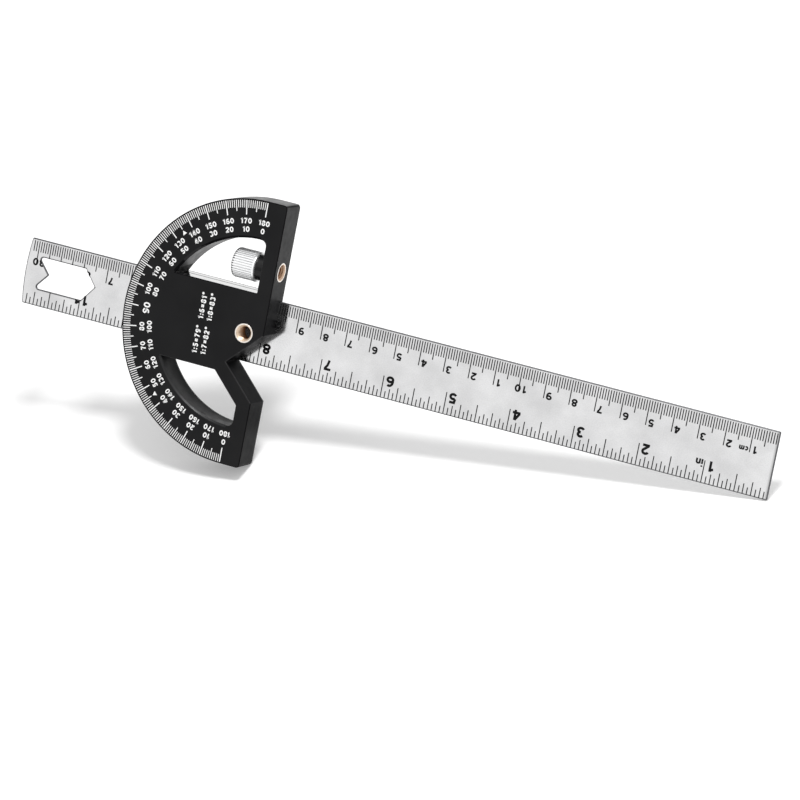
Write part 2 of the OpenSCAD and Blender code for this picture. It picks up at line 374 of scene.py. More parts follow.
def rule_steel():
    """Satin steel with a cloudy tone, and painted shade darkening it where its zero end is rounded
    over.
    """
    mat, nt, shader = new_material("rule_steel", (0.76, 0.76, 0.765), 1.0, 0.13)
    cloudy = spread(nt, noise(nt, 90, 3.0), 0, 1)
    tone = mix_colors(nt, cloudy, (0.69, 0.69, 0.695), (0.83, 0.83, 0.835))
    worn = darken(nt, tone, spread(nt, noise(nt, 1900, 3.0), 0.93, 1.0))
    # painted shade: the colour darkens over the rounded zero end
    end = along_axis(nt, "X", RULE_ZERO_X - RULE_END_SHADE_L, RULE_ZERO_X, 1.0, RULE_TIP_SHADE_SHARE)
    nt.links.new(darken(nt, worn, end), shader.inputs["Base Color"])
    drawn = noise(nt, 260, 4.0, (0.15, 1, 1))
    nt.links.new(spread(nt, drawn, 0.1, 0.15), shader.inputs["Roughness"])
    bump(nt, shader, noise(nt, 700, 5.0), 0.008, 0.2)
    return mat


def rule_edge():
    """Sheared and rounded edge of the rule, duller than its face and painted far darker: painted
    shade that outlines the rule.
    """
    mat, nt, shader = new_material("rule_edge", (0.13, 0.13, 0.135), 1.0, 0.4)
    grain = noise(nt, 2500, 4.0)
    paint(nt, shader, spread(nt, grain, 0, 1), (0.08, 0.08, 0.085), (0.15, 0.15, 0.155))
    bump(nt, shader, grain, 0.01, 0.4)
    return mat


def turned_metal(name, dark, light, smooth, rough):
    """Metal between two tones and two roughnesses; returns the material, its nodes and shader."""
    mat, nt, shader = new_material(name, light, 1.0, rough)
    grain = noise(nt, 1500, 4.0)
    paint(nt, shader, spread(nt, grain, 0, 1), dark, light)
    nt.links.new(spread(nt, noise(nt, 500, 3.0), smooth, rough), shader.inputs["Roughness"])
    bump(nt, shader, grain, 0.004, 0.3)
    return mat, nt, shader


def knob_bright():
    """Crests of the knurl, painted paler than bare metal: a painted highlight."""
    dark, light = (0.9, 0.905, 0.91), (0.97, 0.975, 0.98)
    mat, nt, shader = turned_metal("knob_bright", dark, light, 0.2, 0.28)
    shader.inputs["Metallic"].default_value = 0.6
    shader.inputs["Specular Tint"].default_value = (0.75, 0.75, 0.75, 1)
    return mat


# grooves of the knurl, painted darker than the crests: painted shade
def knob_groove():
    return turned_metal("knob_groove", (0.3, 0.3, 0.305), (0.42, 0.42, 0.425), 0.35, 0.45)[0]


def knob_groove_end():
    """Open ends of the knurl's grooves, in the shade of the rounded rim."""
    return turned_metal("knob_groove_end", (0.03, 0.03, 0.031), (0.07, 0.07, 0.071), 0.35, 0.45)[0]


def stud_bright():
    return turned_metal("stud_bright", (0.64, 0.645, 0.65), (0.8, 0.805, 0.81), 0.18, 0.26)[0]


def stud_end():
    """Faced-off end of the stud, matt and painted paler than its steel: a painted highlight inside
    the bore.
    """
    mat, nt, shader = turned_metal("stud_end", (0.9, 0.9, 0.9), (0.97, 0.97, 0.97), 0.4, 0.5)
    shader.inputs["Metallic"].default_value = 0.2
    return mat


def brass():
    return turned_metal("turned_brass", (0.78, 0.71, 0.64), (0.95, 0.9, 0.85), 0.3, 0.4)[0]


# brass at a bore's mouth, and the brown painted shade deep inside
BORE_MOUTH, BORE_SHADE = (0.7, 0.57, 0.44), (0.34, 0.15, 0.06)


def brass_thread(name, axis, start, stop):
    """Inside of a threaded bush, with painted shade that turns it browner and darker with its depth
    along an axis.
    """
    mat, nt, shader = turned_metal(name, BORE_SHADE, BORE_MOUTH, 0.34, 0.46)
    shader.inputs["Metallic"].default_value = 0.75
    depth = along_axis(nt, axis, start, stop, 0.0, 1.0)
    paint(nt, shader, depth, BORE_MOUTH, BORE_SHADE)
    return mat


def bore_neck():
    """Plastic neck behind the centre bush, painted the dark brown of brass in deep shade: painted
    shade, not the plastic's own colour.
    """
    mat, nt, shader = new_material("bore_neck", (0.06, 0.025, 0.01), 0.0, 0.4, 0.3)
    paint(nt, shader, noise(nt, 1200, 4.0), (0.11, 0.04, 0.012), (0.17, 0.065, 0.022))
    bump(nt, shader, noise(nt, 4200, 3.0), 0.01, 0.5)
    return mat


def head_finishes():
    """Finishes of the head, in the order of the names that head_surface returns; apart from the
    polished wall they are one black plastic with painted sheen and painted shade.
    """
    return [black_plastic("head_black"),
            # fence side: painted sheen, brighter towards the top
            black_plastic("head_fence", ("Y", 4, 28, 0.012, 0.105)),
            # arc wall: painted sheen, brighter from the back towards the front
            black_plastic("head_arc_wall", ("Z", 0, 9, 0.003, 0.045)),
            # other walls: painted sheen, a little brighter towards the top
            black_plastic("head_wall", ("Y", -50, 20, 0.002, 0.02)),
            polished_plastic(),
            # rim and boss: painted sheen, brighter towards the top
            black_plastic("head_rim", ("Y", -30, 50, 0.06, 0.32)),
            # edges with almost no shine: painted dark lines, painted shade
            black_plastic("head_edge", ("Y", -50, 50, 0.0, 0.01)),
            # lip: a painted highlight line along the lower inner edges
            black_plastic("head_lip", ("Y", -50, -12, 0.1, 0.35)),
            # fence's foot: painted sheen, a little brighter towards its lower end
            black_plastic("head_fence_foot", ("Y", -50, -26, 0.04, 0.03)),
            # neck: painted brown shade
            bore_neck()]


# Mesh helpers

def add_object(name, bm, materials, body, smooth=30.0):
    """Writes bm as a piece that rides on body; a face's index picks its material."""
    limit = math.radians(smooth)
    bmesh.ops.recalc_face_normals(bm, faces=bm.faces)
    for face in bm.faces:
        face.smooth = True
    for edge in bm.edges:
        edge.smooth = edge.is_manifold and edge.calc_face_angle(math.pi) < limit
    mesh = bpy.data.meshes.new(name)
    bm.to_mesh(mesh)
    bm.free()
    piece = bpy.data.objects.new(name, mesh)
    bpy.context.scene.collection.objects.link(piece)
    for material in materials:
        mesh.materials.append(material)
    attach(piece, body)
    return piece


# angles between faces that count as flat and as a sharp edge, and faces in a rounded edge
FLAT_DEG, SHARP_DEG, ROUND_STEPS = 0.5, 28.0, 3
WELD_M = 1e-6


def softened(name, node, width, materials, body, pick=None, chosen=None):
    """Copy of a solid with its sharp or chosen edges rounded, standing for that solid."""
    bm = bmesh.new()
    bm.from_mesh(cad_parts[node].data)
    bmesh.ops.remove_doubles(bm, verts=bm.verts, dist=WELD_M)
    bmesh.ops.dissolve_limit(bm, angle_limit=math.radians(FLAT_DEG), verts=bm.verts,
                             edges=bm.edges)
    limit = math.radians(SHARP_DEG)
    sharp = [e for e in bm.edges if e.is_manifold and e.calc_face_angle() > limit]
    if chosen:
        sharp = [e for e in sharp if chosen(*(v.co / MM for v in e.verts))]
    bmesh.ops.bevel(bm, geom=sharp, offset=width * MM, segments=ROUND_STEPS, profile=0.5,
                    affect="EDGES", clamp_overlap=chosen is None)
    bm.normal_update()
    for face in bm.faces:
        face.material_index = pick(face.calc_center_median() / MM, face.normal) if pick else 0
    piece = add_object(name, bm, materials, body)
    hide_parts(node)
    keep_flat_faces(piece)


def cover_screws():
    return [item for name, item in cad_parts.items() if name.startswith("cover_screw")]


def screw_centres():
    centres = []
    for item in cover_screws():
        points = [v.co / MM for v in item.data.vertices]
        centres.append(sum(points, Vector()) / len(points))
    return centres


SCREW_CENTRES = screw_centres()
# small holes stay sharp within these distances; their edges are too short to round
SEAT_R, SCREW_HEAD_R = 4.2, 3.2
# an edge lies on a face within ON_FACE, and is upright when it is plumb and longer than UPRIGHT_L
ON_FACE, PLUMB, UPRIGHT_L = 0.05, 0.02, 8.0


def head_outline(a, b):
    """Whether the edge from a to b is on the head's outline or upright at a corner."""
    middle = (a + b) / 2
    if math.hypot(middle.x, middle.y) < SEAT_R:
        return False
    on_face = min(a.z, b.z) > HEAD_T - ON_FACE
    on_back = max(a.z, b.z) < ON_FACE
    upright = math.hypot(a.x - b.x, a.y - b.y) < PLUMB and abs(a.z - b.z) > UPRIGHT_L
    return on_face or on_back or upright


def cover_outline(a, b):
    """Whether the edge from a to b is on the cover's outline, away from its screws."""
    middle = (a + b) / 2
    if math.hypot(middle.x, middle.y) < SEAT_R:
        return False
    for centre in SCREW_CENTRES:
        if math.hypot(middle.x - centre.x, middle.y - centre.y) < SCREW_HEAD_R:
            return False
    return True


FACE, FENCE_SIDE, ARC_WALL, DULL_WALL, WINDOW_FLOOR, RIM, EDGE, LIP, FENCE_FOOT, NECK = range(10)
# faces this near the side insert's axis and clear of the fence belong to the boss
BOSS_REACH, FENCE_INNER_X = 6.6, 3.0
# a face counts as lying on a surface within these distances of it
NEAR_FENCE, NEAR_RIM, NEAR_INNER_ARC, NEAR_FLOOR = 0.5, 1.0, 1.5, 0.4
NEAR_FRONT, NEAR_BACK = 0.8, 0.4
# least part of a normal along a direction: square to it, turned to it, roughly, and bevelled
FLAT, TOWARDS, ROUGHLY, BEVELLED = 0.985, 0.9, 0.7, 0.2


def head_surface(middle, normal):
    """Which of the head's finishes a face has."""
    radius = math.hypot(middle.x, middle.y)
    outward = (middle.x * normal.x + middle.y * normal.y) / max(radius, 1.0)
    clear_of_fence = middle.x < FENCE_INNER_X
    at_fence = middle.x >= FENCE_X - NEAR_FENCE
    at_rim = radius >= ARC_R - NEAR_RIM
    # the neck behind the centre bush takes a painted brown shade
    if radius < INSERT_R and middle.z < HEAD_T / 2:
        return NECK
    if abs(normal.z) > FLAT:
        return FACE
    # the boss shares the rim's painted sheen
    if clear_of_fence and math.hypot(middle.y - SIDE_Y, middle.z - SIDE_Z) < BOSS_REACH:
        return RIM
    near_face = middle.z > HEAD_T - NEAR_FRONT or middle.z < NEAR_BACK
    # bevels by the faces: painted dark lines, with a painted highlight line on the lower inner
    # edges
    if abs(normal.z) > BEVELLED and near_face:
        return EDGE if middle.y >= 0 or at_fence or at_rim else LIP
    at_floor = abs(middle.y - WINDOW_FLOOR_Y) < NEAR_FLOOR and clear_of_fence
    if at_floor and normal.y > TOWARDS:
        return WINDOW_FLOOR
    if abs(radius - INNER_ARC_R) < NEAR_INNER_ARC and outward < -ROUGHLY:
        return ARC_WALL
    if at_rim and outward > TOWARDS:
        return RIM
    if at_fence and normal.x > TOWARDS:
        # the fence's foot has its own painted sheen
        return FENCE_SIDE if middle.y > -RULE_W / 2 else FENCE_FOOT
    return DULL_WALL


def rule_surface(middle, normal):
    """0 on the rule's faces and 1 on its edges."""
    return 0 if abs(normal.z) > FLAT else 1


def keep_flat_faces(piece):
    weighted = piece.modifiers.new("weighted_normals", "WEIGHTED_NORMAL")
    weighted.keep_sharp = True
    weighted.mode = "FACE_AREA"


# a corner of a ribbon reaches out no further than half its width over this share
CORNER_SHARE = 0.5


def ribbon(bm, points, width, z_low, z_high, closed=False):
    """Flat ribbon of constant width along a line of points, as a thin closed solid."""
    count = len(points)
    half = width / 2
    rows = []
    for i, point in enumerate(points):
        here = Vector(point)
        before = Vector(points[i - 1]) if i > 0 or closed else None
        after = Vector(points[(i + 1) % count]) if i < count - 1 or closed else None
        come = (here - before).normalized() if before is not None else None
        go = (after - here).normalized() if after is not None else None
        come = go if come is None else come
        go = come if go is None else go
        along = (come + go).normalized()
        across = Vector((-along.y, along.x))
        reach = half / max(CORNER_SHARE, across.dot(Vector((-come.y, come.x))))
        row = []
        for side, z in ((1, z_low), (-1, z_low), (-1, z_high), (1, z_high)):
            spot = here + across * reach * side
            row.append(bm.verts.new((spot.x * MM, spot.y * MM, z * MM)))
        rows.append(row)
    for i in range(count if closed else count - 1):
        a, b = rows[i], rows[(i + 1) % count]
        for k in range(4):
            bm.faces.new((a[k], b[k], b[(k + 1) % 4], a[(k + 1) % 4]))
    if not closed:
        bm.faces.new(rows[0])
        bm.faces.new(reversed(rows[-1]))


def band(bm, low, high):
    """Faces between two rings that have the same number of points."""
    count = len(low)
    for i in range(count):
        k = (i + 1) % count
        bm.faces.new((low[i], low[k], high[k], high[i]))


def slab(bm, corners, z_low, z_high):
    """Flat polygon as a thin closed solid."""
    low = [bm.verts.new((x * MM, y * MM, z_low * MM)) for x, y in corners]
    high = [bm.verts.new((x * MM, y * MM, z_high * MM)) for x, y in corners]
    bm.faces.new(reversed(low))
    bm.faces.new(high)
    band(bm, low, high)


# Lettering: strokes on a cell one unit high

def oval(cx, cy, rx, ry, start, stop, steps=14):
    turn = [math.radians(start + (stop - start) * i / steps) for i in range(steps + 1)]
    return [(cx + rx * math.cos(a), cy + ry * math.sin(a)) for a in turn]


def ring(cx, cy, rx, ry, steps=20):
    return oval(cx, cy, rx, ry, 0, 360 - 360 / steps, steps - 1)


# each figure: its advance, then its strokes; a stroke marked "ring" is closed
FIGURES = {
    "0": (0.72, [("ring", ring(0.33, 0.5, 0.24, 0.4, 24))]),
    "1": (0.52, [("line", [(0.04, 0.74), (0.2, 0.8), (0.3, 0.94)]),
                 ("line", [(0.3, 0), (0.3, 1)])]),
    "2": (0.72, [("line", oval(0.33, 0.68, 0.22, 0.22, 165, -35) + [(0.14, 0.16)]),
                 ("line", [(0.04, 0.1), (0.6, 0.1)])]),
    "3": (0.72, [("line", oval(0.32, 0.7, 0.2, 0.2, 150, -90)),
                 ("line", oval(0.32, 0.3, 0.23, 0.2, 90, -155))]),
    "4": (0.72, [("line", [(0.42, 0.98), (0.08, 0.3)]),
                 ("line", [(0.02, 0.27), (0.66, 0.27)]),
                 ("line", [(0.44, 0), (0.44, 1)])]),
    "5": (0.72, [("line", [(0.58, 0.9), (0.19, 0.9), (0.14, 0.52)]),
                 ("line", oval(0.32, 0.33, 0.23, 0.23, 135, -155))]),
    "6": (0.72, [("ring", ring(0.33, 0.31, 0.23, 0.21)),
                 ("line", oval(0.37, 0.5, 0.27, 0.4, 60, 205))]),
    "7": (0.72, [("line", [(0.06, 0.9), (0.62, 0.9)]),
                 ("line", [(0.56, 0.88), (0.36, 0.5), (0.26, 0)])]),
    "8": (0.72, [("ring", ring(0.33, 0.715, 0.19, 0.185)),
                 ("ring", ring(0.33, 0.295, 0.235, 0.2))]),
    "9": (0.72, [("ring", ring(0.33, 0.69, 0.23, 0.21)),
                 ("line", oval(0.29, 0.5, 0.27, 0.4, 240, 385))]),
    ":": (0.36, [("line", [(0.16, 0.04), (0.16, 0.26)]),
                 ("line", [(0.16, 0.5), (0.16, 0.72)])]),
    "=": (0.74, [("line", [(0.08, 0.36), (0.6, 0.36)]),
                 ("line", [(0.08, 0.64), (0.6, 0.64)])]),
    "d": (0.5, [("ring", ring(0.24, 0.82, 0.11, 0.11, 14))]),
    "c": (0.56, [("line", oval(0.29, 0.33, 0.19, 0.23, 45, 315))]),
    "m": (0.92, [("line", [(0.12, 0), (0.12, 0.62)]),
                 ("line", [(0.12, 0.4)] + oval(0.27, 0.42, 0.15, 0.15, 150, 0) + [(0.42, 0)]),
                 ("line", oval(0.57, 0.42, 0.15, 0.15, 180, 0) + [(0.72, 0)])]),
    "i": (0.3, [("line", [(0.14, 0), (0.14, 0.62)]),
                ("line", [(0.14, 0.78), (0.14, 0.96)])]),
    "n": (0.62, [("line", [(0.12, 0), (0.12, 0.62)]),
                 ("line", [(0.12, 0.38)] + oval(0.3, 0.4, 0.18, 0.18, 150, 0) + [(0.48, 0)])]),
}


def lettering(bm, text, style, at, up, level, start=False):
    """Writes text in a style of height, width, weight and spacing; up is in degrees.

    Its middle lies at the point, or with start the beginning of its baseline."""
    height, wide, weight, spacing = style
    advance = [FIGURES[sign][0] * wide + spacing for sign in text]
    length = (sum(advance) - spacing) * height
    turn = Matrix.Rotation(math.radians(up - 90), 2)
    pen = 0.0 if start else -length / 2
    base = 0.0 if start else -height / 2
    for sign, step in zip(text, advance):
        for kind, points in FIGURES[sign][1]:
            line = []
            for x, y in points:
                spot = Vector((pen + x * wide * height, base + y * height))
                line.append(Vector(at) + turn @ spot)
            ribbon(bm, line, weight, *level, kind == "ring")
        pen += step * height


# Marks on the protractor

# inks lie half above and half below a face
DIAL_LEVEL = (HEAD_T - 0.02, HEAD_T + 0.02)


def on_dial(radius, degrees):
    """Point of the dial; degrees run from the top of the arc to its bottom."""
    a = math.radians(degrees)
    return (-radius * math.sin(a), radius * math.cos(a))


def mark_kind(number):
    """10, 5 or 1: which sort of mark a number on a scale of tens has."""
    return next(kind for kind in (10, 5, 1) if number % kind == 0)


# radius at which a mark ends, and its width, by its kind
TICK_END = {1: 46.6, 5: 45.3, 10: 44.0}
TICK_W = {1: 0.27, 5: 0.32, 10: 0.4}
RIM_MARGIN = 0.6


def dial_lines(ink):
    bm = bmesh.new()
    for degree in range(181):
        kind = mark_kind(degree)
        ribbon(bm, [on_dial(ARC_R - RIM_MARGIN, degree), on_dial(TICK_END[kind], degree)],
               TICK_W[kind], *DIAL_LEVEL)
    add_object("dial_lines", bm, [ink], "head")


# height, width, weight and spacing of the figures
ROW_STYLE = (2.0, 1.12, 0.45, 0.06)
NINETY_STYLE = (2.7, 1.1, 0.56, 0.05)
OUTER_ROW_R, INNER_ROW_R, NINETY_R = 41.75, 38.65, 40.6
POINTER_TIP_R, POINTER_BASE_R, POINTER_HALF_DEG = 44.7, 43.2, 1.2


def dial_figures(ink):
    bm = bmesh.new()
    for degree in range(0, 181, 10):
        up = 90 + degree
        if degree == 90:
            lettering(bm, "90", NINETY_STYLE, on_dial(NINETY_R, 90), up, DIAL_LEVEL)
            continue
        for radius, value in ((OUTER_ROW_R, 180 - degree), (INNER_ROW_R, degree)):
            lettering(bm, str(value), ROW_STYLE, on_dial(radius, degree), up, DIAL_LEVEL)
    for degree in (45, 135):
        slab(bm, [on_dial(POINTER_TIP_R, degree),
                  on_dial(POINTER_BASE_R, degree + POINTER_HALF_DEG),
                  on_dial(POINTER_BASE_R, degree - POINTER_HALF_DEG)], *DIAL_LEVEL)
    add_object("dial_figures", bm, [ink], "head")


# slope ratios with their angles, and where each line of text starts
RATIO_STYLE = (2.1, 1.0, 0.49, 0.12)
RATIOS = (("1:5=79d", -17.2, -11.9), ("1:6=81d", -17.2, 1.2),
          ("1:7=82d", -13.65, -11.7), ("1:8=83d", -13.65, 1.1))


def ratio_table(ink):
    bm = bmesh.new()
    for text, x, y in RATIOS:
        lettering(bm, text, RATIO_STYLE, (x, y), 180, DIAL_LEVEL, True)
    add_object("ratio_table", bm, [ink], "head")


# Marks on the rule

RULE_LEVEL = (RULE_FACE_Z - 0.012, RULE_FACE_Z + 0.012)
# last mark of each scale, in millimetres and in sixteenths of an inch, and last figure
LAST_MM, LAST_SIXTEENTH, LAST_CM, LAST_INCH = 302, 190, 30, 11
# where the marks start at the rule's edges, and where they end by their kind
CM_START_Y = 12.4
CM_END_Y = {1: 8.3, 5: 6.5, 10: 3.2}
INCH_START_Y = -11.9
INCH_END_Y = {1: -9.3, 2: -8.2, 4: -7.0, 8: -5.5, 16: -3.75}
RULE_LINE_W = 0.39
CM_STYLE = (2.75, 1.26, 0.69, 0.0)
INCH_STYLE = (3.85, 1.25, 0.96, 0.0)
CM_WORD_STYLE = (2.3, 1.1, 0.57, 0.0)
INCH_WORD_STYLE = (3.0, 1.1, 0.7, 0.0)
CM_Y, INCH_Y = 4.4, -5.45
# a figure's middle stands this far from its mark: one digit alone, or the two of a pair
CM_SHIFT, CM_FIRST_SHIFT, CM_SECOND_SHIFT = 1.9, 2.2, -0.5
INCH_SHIFT, INCH_FIRST_SHIFT, INCH_SECOND_SHIFT = 2.6, 2.2, -1.2
CM_WORD_X, CM_WORD_Y = RULE_ZERO_X - 12.5, 3.9
INCH_WORD_X, INCH_WORD_Y = RULE_ZERO_X - 27.4, -5.0


def hole_outline():
    y = RULE_Y
    x = HOLE_TAIL_X
    nose = x + HOLE_L
    return [(x + HOLE_CUT, y), (x, y + HOLE_HALF), (nose - HOLE_NOSE, y + HOLE_HALF),
            (nose, y), (nose - HOLE_NOSE, y - HOLE_HALF), (x, y - HOLE_HALF)]


CUTTER_REACH = 7.0


def cut_hole(piece):
    """Takes the hanging hole out of a piece on the rule."""
    bm = bmesh.new()
    slab(bm, hole_outline(), RULE_FACE_Z - CUTTER_REACH, RULE_FACE_Z + CUTTER_REACH)
    bmesh.ops.recalc_face_normals(bm, faces=bm.faces)
    mesh = bpy.data.meshes.new("hole_cutter")
    bm.to_mesh(mesh)
    bm.free()
    cutter = bpy.data.objects.new("hole_cutter", mesh)
    bpy.context.scene.collection.objects.link(cutter)
    cut = piece.modifiers.new("hole", "BOOLEAN")
    cut.operation = "DIFFERENCE"
    cut.solver = "EXACT"
    cut.use_self = True
    cut.object = cutter
    bpy.context.view_layer.update()
    graph = bpy.context.evaluated_depsgraph_get()
    done = bpy.data.meshes.new_from_object(piece.evaluated_get(graph))
    piece.modifiers.clear()
    old = piece.data
    piece.data = done
    bpy.data.meshes.remove(old)
    bpy.data.objects.remove(cutter)


def rule_lines(ink):
    bm = bmesh.new()
    for mm in range(1, LAST_MM + 1):
        x = RULE_ZERO_X - mm
        ribbon(bm, [(x, CM_START_Y), (x, CM_END_Y[mark_kind(mm)])], RULE_LINE_W, *RULE_LEVEL)
    for part in range(1, LAST_SIXTEENTH + 1):
        x = RULE_ZERO_X - part * INCH / 16
        kind = next(k for k in (16, 8, 4, 2, 1) if part % k == 0)
        ribbon(bm, [(x, INCH_START_Y), (x, INCH_END_Y[kind])], RULE_LINE_W, *RULE_LEVEL)
    piece = add_object("rule_lines", bm, [ink], "rule")
    cut_hole(piece)


def rule_figures(ink):
    bm = bmesh.new()

    def write(text, style, x, y):
        lettering(bm, text, style, (x, y), -90, RULE_LEVEL)

    for cm in range(1, LAST_CM + 1):
        x = RULE_ZERO_X - 10 * cm
        if cm % 10:
            write(str(cm % 10), CM_STYLE, x + CM_SHIFT, CM_Y)
        else:
            write(str(cm // 10), CM_STYLE, x + CM_FIRST_SHIFT, CM_Y)
            write("0", CM_STYLE, x + CM_SECOND_SHIFT, CM_Y)
    for inch in range(1, LAST_INCH + 1):
        x = RULE_ZERO_X - INCH * inch
        if inch < 10:
            write(str(inch), INCH_STYLE, x + INCH_SHIFT, INCH_Y)
        else:
            write("1", INCH_STYLE, x + INCH_FIRST_SHIFT, INCH_Y)
            write(str(inch % 10), INCH_STYLE, x + INCH_SECOND_SHIFT, INCH_Y)
    write("cm", CM_WORD_STYLE, CM_WORD_X, CM_WORD_Y)
    write("in", INCH_WORD_STYLE, INCH_WORD_X, INCH_WORD_Y)
    piece = add_object("rule_figures", bm, [ink], "rule")
    cut_hole(piece)


# Turned and threaded pieces

def lathe(bm, rows, around, place):
    """Skin over rings of (axial place, radius function of angle); returns the rings."""
    rings = []
    for along, radius in rows:
        loop = []
        for i in range(around):
            a = 2 * math.pi * i / around
            r = radius(a)
            spot = Vector((r * math.cos(a), r * math.sin(a), along))
            loop.append(bm.verts.new(place @ spot * MM))
        rings.append(loop)
    for low, high in zip(rings, rings[1:]):
        band(bm, low, high)
    return rings


def plain(r):
    """Radius function of a round ring."""
    return lambda a: r


def on_side_axis(x, degrees):
    """Place of a turned piece at x on the side insert's axis, turned about Y."""
    turn = Matrix.Rotation(math.radians(degrees), 4, "Y")
    return Matrix.Translation((x, SIDE_Y, SIDE_Z)) @ turn


# midway round a rounded edge, its surface stands this share of the radius from both faces
ROUND_SHARE = 0.3
# edges sharper than these angles stay hard
THREAD_SMOOTH, KNURL_SMOOTH = 50.0, 40.0
# points around a thread and rings in each of its turns
THREAD_AROUND, THREAD_RINGS = 64, 10
# share of a thread's pitch that is flat at its crest, and that its flanks take
CREST_SHARE, FLANK_SHARE = 0.1, 0.75


def thread_depth(along, angle):
    """0 at the crest and 1 at the root of a 60 degree thread."""
    turn = (along / THREAD_PITCH - angle / (2 * math.pi)) % 1.0
    slope = abs(turn - 0.5) * 2
    return min(1.0, max(0.0, (slope - CREST_SHARE) / FLANK_SHARE))


# bush: rounding of its rim, its flared mouth with the lip around that, and its thread's start
BUSH_RIM, BUSH_MOUTH, MOUTH_LIP, BUSH_THREAD_FROM = 0.12, 0.65, 0.05, 0.02


def bore_ring(z):
    """Radius function of the bush's bore at z, flared towards its mouth at 0."""
    lead = THREAD_MINOR_R + BUSH_MOUTH + min(0.0, z) if z > -BUSH_MOUTH else 0.0
    deep = THREAD_MAJOR_R - THREAD_MINOR_R
    return lambda a: max(THREAD_MINOR_R + deep * thread_depth(z, a), lead)


def threaded_insert(name, node, length, place, materials):
    """Brass bush with a thread inside; its mouth is at 0 and it runs to -length."""
    bm = bmesh.new()
    corner = BUSH_RIM * ROUND_SHARE
    outside = [(-length, plain(INSERT_R - BUSH_RIM)), (-length + BUSH_RIM, plain(INSERT_R)),
               (-BUSH_RIM, plain(INSERT_R)), (-corner, plain(INSERT_R - corner)),
               (0, plain(INSERT_R - BUSH_RIM)), (0, plain(THREAD_MINOR_R + BUSH_MOUTH + MOUTH_LIP))]
    threaded = length - BUSH_THREAD_FROM
    count = int(round(threaded / (THREAD_PITCH / THREAD_RINGS)))
    inside = []
    for i in range(count + 1):
        z = -BUSH_THREAD_FROM - threaded * i / count
        inside.append((z, bore_ring(z)))
    rings = lathe(bm, outside + inside, THREAD_AROUND, place)
    bm.faces.ensure_lookup_table()
    for face in bm.faces[len(outside) * THREAD_AROUND:]:
        face.material_index = 1
    band(bm, rings[-1], rings[0])
    piece = add_object(name, bm, materials, "head", THREAD_SMOOTH)
    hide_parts(node)


# stud: radius over its thread, the thread's height, and its tapered tip
STUD_R, STUD_THREAD_H = 2.45, 0.38
TIP_L, TIP_R = 0.6, 2.25
# rings of the dish in its end: depth and radius
STUD_DISH = ((0.0, 2.0), (0.12, 1.65), (0.16, 0.3))


def stud_ring(z, length):
    """Radius function of the stud's thread at z, tapered over the last of its length."""
    taper = TIP_R + (length - z) if z > length - TIP_L else STUD_R
    return lambda a: min(STUD_R - STUD_THREAD_H * thread_depth(z, a), taper)


def stud(materials):
    """Threaded stud from inside the knob to just under the fence's face."""
    bm = bmesh.new()
    start = KNOB_X - STUD_IN_KNOB
    length = STUD_TIP_X - start
    place = on_side_axis(start, 90)
    count = int(length / (THREAD_PITCH / THREAD_RINGS))
    places = [length * i / count for i in range(count + 1)]
    rings = lathe(bm, [(z, stud_ring(z, length)) for z in places], THREAD_AROUND, place)
    bm.faces.new(reversed(rings[0]))
    turned = len(bm.faces)
    dish = lathe(bm, [(length - deep, plain(r)) for deep, r in STUD_DISH], THREAD_AROUND, place)
    band(bm, rings[-1], dish[0])
    bm.faces.new(dish[-1])
    bm.faces.ensure_lookup_table()
    for face in bm.faces[turned:]:
        face.material_index = 1
    piece = add_object("threaded_stud", bm, materials, "screw_feed", THREAD_SMOOTH)
    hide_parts("knob_stud")


KNURL_TEETH, KNURL_DEPTH = 36, 0.2
# points around one tooth, and the power that narrows the grooves between the teeth
TOOTH_STEPS, GROOVE_POWER = 10, 1.6
KNOB_RIM_L, KNOB_CHAMFER = 0.9, 1.2
# rim: height and length of its step down to the grip, and its rounded outer corner
RIM_STEP, RIM_STEP_L, RIM_ROUND = 0.1, 0.12, 0.3
GRIP_R, GRIP_END = KNOB_R - RIM_STEP, KNOB_L - KNOB_CHAMFER
# rings over the rounded free end, and how far inside the straight grip its extra rings lie
END_STEPS, SUPPORT = 8, 0.2
KNURL_START = KNOB_RIM_L + 0.02
HOLLOW_MOUTH_R, HOLLOW_END_R = 2.55, 2.45
# share of the groove's depth beyond which its wall takes the groove's painted shade, and the darker
# painted shade at its open end
GROOVE_SHADE_FROM, GROOVE_END_SHADE_FROM = 0.68, 0.4


def groove_share(angle):
    """0 on a tooth's crest and 1 at the bottom of the groove beside it."""
    tooth = (angle * KNURL_TEETH / (2 * math.pi)) % 1.0
    return max(0.0, math.cos(2 * math.pi * tooth)) ** GROOVE_POWER


def knurled(depth, outer):
    """Radius function of a ring with the knurl's grooves cut into it."""
    return lambda a: outer - depth * groove_share(a)


def knob_rim_rows():
    """Rings of the plain rim at the fence, from the hollow for the stud outwards."""
    corner = RIM_ROUND * ROUND_SHARE
    return [(0, plain(HOLLOW_MOUTH_R)), (0, plain(KNOB_R - RIM_ROUND)),
            (corner, plain(KNOB_R - corner)), (RIM_ROUND, plain(KNOB_R)),
            (KNOB_RIM_L - RIM_STEP_L, plain(KNOB_R)), (KNOB_RIM_L, plain(GRIP_R))]


def knob_grip_rows():
    """Rings of the knurled grip and of its rounded free end, where the grooves run out."""
    places = (KNURL_START, KNOB_RIM_L + SUPPORT, GRIP_END - SUPPORT, GRIP_END)
    rows = [(along, knurled(KNURL_DEPTH, GRIP_R)) for along in places]
    for i in range(1, END_STEPS + 1):
        t = i / END_STEPS
        shrink = KNOB_CHAMFER * (1 - math.cos(t * math.pi / 2))
        rows.append((GRIP_END + KNOB_CHAMFER * math.sin(t * math.pi / 2),
                     knurled(KNURL_DEPTH * (1 - t ** 3), GRIP_R - shrink)))
    return rows


def knurl_finish(along, share):
    """0 on the crests with their painted highlight, 1 in the grooves with painted shade, and 2
    where a groove's open end has darker painted shade.
    """
    if along >= GRIP_END and share > GROOVE_END_SHADE_FROM:
        return 2
    return 1 if share > GROOVE_SHADE_FROM else 0


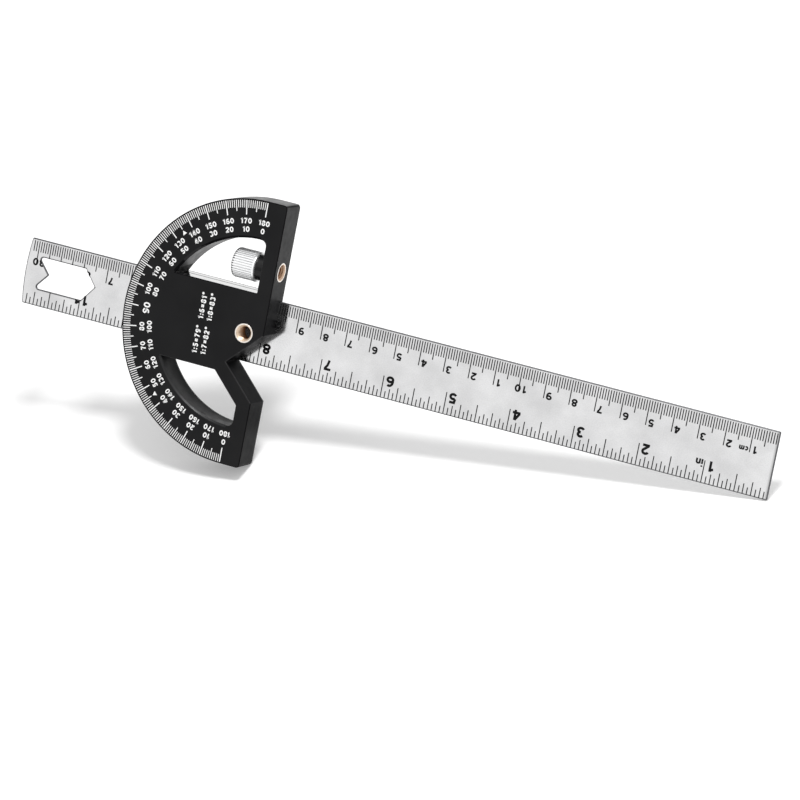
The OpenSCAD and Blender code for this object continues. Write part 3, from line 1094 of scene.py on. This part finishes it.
def knurled_knob(materials):
    """Round grip with a straight knurl, a plain rim at the fence and a rounded free end."""
    bm = bmesh.new()
    place = on_side_axis(KNOB_X, -90)
    around = KNURL_TEETH * TOOTH_STEPS
    rim, grip = knob_rim_rows(), knob_grip_rows()
    rings = lathe(bm, rim + grip, around, place)
    bm.faces.ensure_lookup_table()
    for row in range(len(grip) - 1):
        for i in range(around):
            share = groove_share(2 * math.pi * (i + 0.5) / around)
            face = bm.faces[(len(rim) + row) * around + i]
            face.material_index = knurl_finish(grip[row][0], share)
    hollow = [(0, plain(HOLLOW_MOUTH_R)), (STUD_IN_KNOB, plain(HOLLOW_END_R))]
    inner = lathe(bm, hollow, around, place)
    bm.faces.new(rings[-1])
    bm.faces.new(reversed(inner[-1]))
    bmesh.ops.remove_doubles(bm, verts=bm.verts, dist=WELD_M)
    piece = add_object("knurled_knob", bm, materials, "knob", KNURL_SMOOTH)
    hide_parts("knob")


# The whole part

# how far the sharp edges are rounded
HEAD_BREAK, COVER_BREAK, RULE_BREAK = 0.32, 0.15, 0.45


def shells():
    """The head, its rear cover and the rule, with their edges rounded."""
    softened("head_shell", "head", HEAD_BREAK, head_finishes(), "head",
             head_surface, head_outline)
    softened("rear_plate", "rear_cover", COVER_BREAK, [cover_paint()], "head",
             None, cover_outline)
    softened("rule_blade", "ruler", RULE_BREAK, [rule_steel(), rule_edge()], "rule",
             rule_surface)


def screw_heads():
    """The cover's screws stay as they are, blackened."""
    black = screw_black()
    for item in cover_screws():
        item.data.materials.clear()
        item.data.materials.append(black)


def marks():
    white, black = white_ink(), black_ink()
    dial_lines(white)
    dial_figures(white)
    ratio_table(white)
    rule_lines(black)
    rule_figures(black)


# where the painted shade in each bore starts to turn it brown, and where it is brownest and darkest
CENTRE_BORE_SHADE = (HEAD_T - 0.3, HEAD_T - 6.5)
SIDE_BORE_SHADE = (FENCE_X + 2.0, FENCE_X - 3.0)


def turned_pieces():
    """Both bushes, the stud and the knob."""
    ring_face = brass()
    bore_z = brass_thread("bore_centre", "Z", *CENTRE_BORE_SHADE)
    bore_x = brass_thread("bore_fence", "X", *SIDE_BORE_SHADE)
    middle = Matrix.Translation((0, 0, HEAD_T))
    threaded_insert("centre_bush", "centre_insert", CENTRE_INSERT_L, middle, [ring_face, bore_z])
    side = on_side_axis(FENCE_X, 90)
    threaded_insert("fence_bush", "fence_insert", FENCE_X - BOSS_X, side, [ring_face, bore_x])
    stud([stud_bright(), stud_end()])
    knurled_knob([knob_bright(), knob_groove(), knob_groove_end()])


bpy.context.scene.view_settings.view_transform = "Standard"
make_camera()
make_world()
make_key_light()
make_floor()
shells()
screw_heads()
marks()
turned_pieces()
